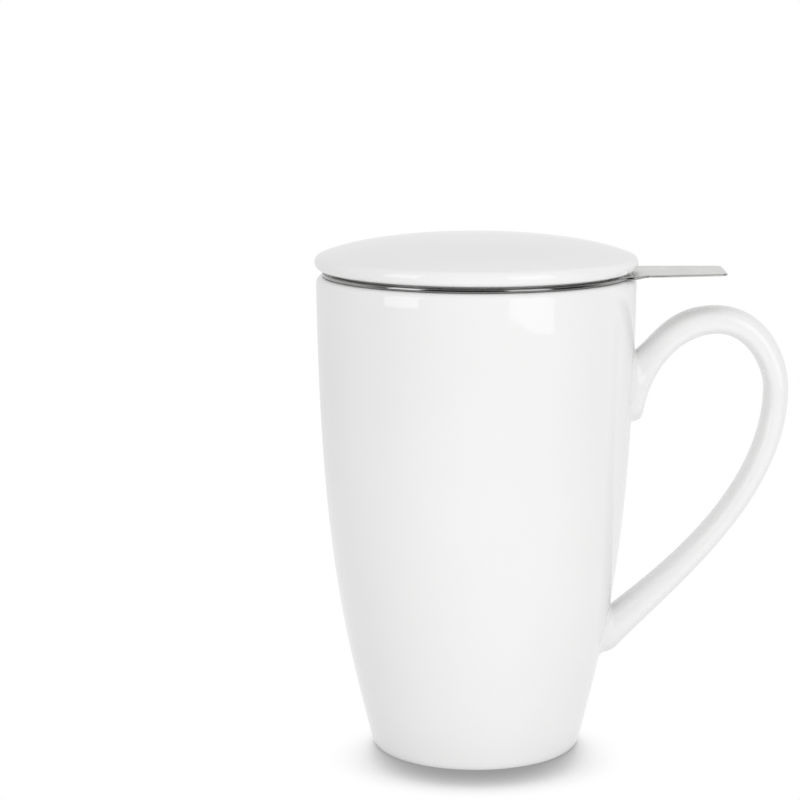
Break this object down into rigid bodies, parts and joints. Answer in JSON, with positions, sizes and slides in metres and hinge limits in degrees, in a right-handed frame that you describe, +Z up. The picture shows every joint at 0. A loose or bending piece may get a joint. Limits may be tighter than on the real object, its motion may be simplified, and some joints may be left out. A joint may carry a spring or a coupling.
{
  "type": "lidded tea mug with infuser",
  "caption": "Tall tapered porcelain tea mug with a loop handle, a lift-out perforated steel basket infuser and a domed lift-off lid.",
  "frame": {"origin": "centre of the foot ring, on the mug's axis, in the plane that the mug stands on", "axes": "+Z up along the mug's axis, +X towards the handle and the infuser's tab, +Y to the left of someone looking along +X"},
  "size_m": [0.1307, 0.0888, 0.1434],
  "materials": {
    "porcelain": "white porcelain under a clear gloss glaze, bare and matt on the ground foot ring",
    "stainless_steel": "thin stainless sheet, satin on the tab and sleeve, bright on the rolled edge"
  },
  "bodies": {
    "mug": {"mug_body": "porcelain", "mug_handle": "porcelain"},
    "infuser": {"infuser_flange": "stainless_steel", "infuser_collar": "stainless_steel", "infuser_sleeve": "stainless_steel", "infuser_base": "stainless_steel", "infuser_base_hoop": "stainless_steel"},
    "lid": {"lid": "porcelain"}
  },
  "joints": [
    {"name": "infuser_lift", "type": "slide", "parent": "mug", "child": "infuser", "axis": [0, 0, 1], "range_m": [0, 0.1]},
    {"name": "lid_lift", "type": "slide", "parent": "infuser", "child": "lid", "axis": [0, 0, 1], "range_m": [0, 0.04]}
  ]
}
